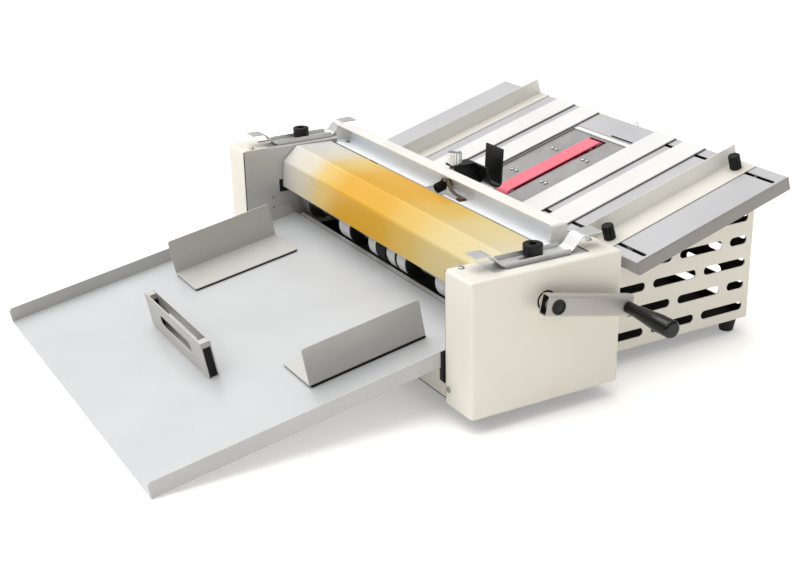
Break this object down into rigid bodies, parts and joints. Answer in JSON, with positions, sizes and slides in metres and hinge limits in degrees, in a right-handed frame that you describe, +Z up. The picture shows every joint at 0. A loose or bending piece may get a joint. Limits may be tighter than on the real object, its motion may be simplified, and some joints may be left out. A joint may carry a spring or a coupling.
{
  "type": "desktop paper creasing machine",
  "caption": "Hand-cranked desktop machine that creases and perforates paper, with sloped infeed table, translucent hood and output tray.",
  "frame": {"origin": "middle of the whole outline, on the surface it stands on", "axes": "+X towards the crank side, +Y towards the infeed table, +Z up"},
  "size_m": [0.825, 0.9056, 0.259],
  "materials": {
    "cream_paint": "satin",
    "grey_paint": "satin",
    "pale_grey_paint": "satin",
    "zinc_steel": "satin",
    "bright_steel": "polished",
    "black_plastic": "matte",
    "black_paint": "satin",
    "rubber": "matte",
    "white_plastic": "satin",
    "coral_belt": "matte",
    "amber_acrylic": "gloss",
    "cast_steel": "satin"
  },
  "bodies": {
    "chassis": {"floor_plate": "cream_paint", "base_side_left": "cream_paint", "base_side_right": "cream_paint", "base_rear": "cream_paint", "base_front": "cream_paint", "rubber_feet": "rubber", "side_frame_left": "zinc_steel", "side_frame_right": "zinc_steel", "side_cover_left": "cream_paint", "side_cover_right": "cream_paint", "pan_screws": "bright_steel", "frame_bolts": "bright_steel", "tie_rod": "bright_steel", "crossbar": "cream_paint", "infeed_table": "grey_paint", "recess_pan": "zinc_steel", "plate_screws": "bright_steel", "feed_belt": "coral_belt", "glide_strips": "cream_paint", "far_fence": "cream_paint", "infeed_guide": "zinc_steel", "output_tray": "pale_grey_paint", "tray_rail": "zinc_steel", "tray_hooks": "black_paint", "bearing_bushes": "bright_steel", "hood_pads": "black_plastic", "table_eye": "bright_steel", "roller_brackets": "zinc_steel", "drive_belt": "rubber"},
    "crank": {"upper_shaft": "bright_steel", "upper_tyres": "rubber", "upper_collars": "white_plastic", "upper_gear": "cast_steel", "crank_arm": "pale_grey_paint", "crank_screw": "black_plastic"},
    "grip": {"grip": "black_plastic"},
    "lower_tools": {"lower_shaft": "bright_steel", "lower_tyres": "rubber", "lower_collars": "white_plastic", "lower_gear": "cast_steel"},
    "feed_roller": {"feed_roller": "bright_steel"},
    "idler_roller": {"idler_roller": "bright_steel"},
    "hood": {"hood": "amber_acrylic", "hood_lugs": "black_plastic"},
    "latch_left": {"latch_left": "bright_steel"},
    "latch_right": {"latch_right": "bright_steel"},
    "latch_knob_left": {"latch_knob_left": "black_plastic"},
    "latch_knob_right": {"latch_knob_right": "black_plastic"},
    "side_fence": {"side_fence": "cream_paint"},
    "fence_knob_front": {"fence_knob_front": "black_plastic"},
    "fence_knob_rear": {"fence_knob_rear": "black_plastic"},
    "feed_gate": {"gate_bracket": "black_paint"},
    "gate_knob": {"gate_knob": "bright_steel"},
    "lock_knob": {"lock_knob": "black_plastic"},
    "guide_left": {"guide_left": "pale_grey_paint", "guide_magnet_left": "rubber"},
    "guide_right": {"guide_right": "pale_grey_paint", "guide_magnet_right": "rubber"},
    "back_stop": {"back_stop": "pale_grey_paint", "stop_magnets": "black_plastic"}
  },
  "joints": [
    {"name": "crank_turn", "type": "hinge", "parent": "chassis", "child": "crank", "pos_m": [-0.0545, 0.0334, 0.1546], "axis": [1, 0, 0], "continuous": true},
    {"name": "grip_spin", "type": "hinge", "parent": "crank", "child": "grip", "pos_m": [0.3285, 0.13696, 0.13202], "axis": [1, 0, 0], "continuous": true},
    {"name": "lower_turn", "type": "hinge", "parent": "chassis", "child": "lower_tools", "pos_m": [-0.0545, 0.0409, 0.10436], "axis": [1, 0, 0], "continuous": true},
    {"name": "feed_turn", "type": "hinge", "parent": "chassis", "child": "feed_roller", "pos_m": [-0.0545, 0.21553, 0.16101], "axis": [1, 0, 0], "continuous": true},
    {"name": "idler_turn", "type": "hinge", "parent": "chassis", "child": "idler_roller", "pos_m": [-0.0545, 0.37029, 0.20538], "axis": [1, 0, 0], "continuous": true},
    {"name": "hood_lift", "type": "hinge", "parent": "chassis", "child": "hood", "pos_m": [-0.0545, 0.07119, 0.183], "axis": [-1, 0, 0], "range_deg": [0, 95]},
    {"name": "latch_left_slide", "type": "slide", "parent": "chassis", "child": "latch_left", "axis": [0, 1, 0], "range_m": [0, 0.016]},
    {"name": "latch_right_slide", "type": "slide", "parent": "chassis", "child": "latch_right", "axis": [0, 1, 0], "range_m": [0, 0.016]},
    {"name": "latch_knob_left_turn", "type": "hinge", "parent": "chassis", "child": "latch_knob_left", "pos_m": [-0.3755, 0.03819, 0.1958], "axis": [0, 0, 1], "range_deg": [0, 720]},
    {"name": "latch_knob_right_turn", "type": "hinge", "parent": "chassis", "child": "latch_knob_right", "pos_m": [0.2665, 0.03819, 0.1958], "axis": [0, 0, 1], "range_deg": [0, 720]},
    {"name": "fence_slide", "type": "slide", "parent": "chassis", "child": "side_fence", "axis": [1, 0, 0], "range_m": [-0.058, 0.05]},
    {"name": "fence_knob_front_turn", "type": "hinge", "parent": "side_fence", "child": "fence_knob_front", "pos_m": [0.2035, 0.205, 0.1687], "axis": [0, -0.2756, 0.9613], "range_deg": [0, 360]},
    {"name": "fence_knob_rear_turn", "type": "hinge", "parent": "side_fence", "child": "fence_knob_rear", "pos_m": [0.2035, 0.41551, 0.22907], "axis": [0, -0.2756, 0.9613], "range_deg": [0, 360]},
    {"name": "gate_lift", "type": "slide", "parent": "chassis", "child": "feed_gate", "axis": [0, 0, 1], "range_m": [-0.003, 0.003]},
    {"name": "gate_knob_turn", "type": "hinge", "parent": "feed_gate", "child": "gate_knob", "pos_m": [-0.0415, 0.11819, 0.2205], "axis": [0, 0, 1], "range_deg": [-1085, 1085]},
    {"name": "lock_knob_turn", "type": "hinge", "parent": "chassis", "child": "lock_knob", "pos_m": [-0.0405, 0.1097, 0.2], "axis": [0, -0.9613, -0.2756], "range_deg": [0, 360]},
    {"name": "guide_left_slide", "type": "slide", "parent": "chassis", "child": "guide_left", "axis": [1, 0, 0], "range_m": [-0.055, 0.09]},
    {"name": "guide_right_slide", "type": "slide", "parent": "chassis", "child": "guide_right", "axis": [1, 0, 0], "range_m": [-0.09, 0.073]},
    {"name": "stop_slide", "type": "slide", "parent": "chassis", "child": "back_stop", "axis": [0, 0.9838, 0.1794], "range_m": [-0.14, 0.065]}
  ],
  "couplings": [
    {"joint": "lower_turn", "follows": "crank_turn", "ratio": -1},
    {"joint": "feed_turn", "follows": "crank_turn", "ratio": -1.4636},
    {"joint": "idler_turn", "follows": "crank_turn", "ratio": -1.4636},
    {"joint": "gate_knob_turn", "follows": "gate_lift", "rad_per_m": 6283.2}
  ]
}
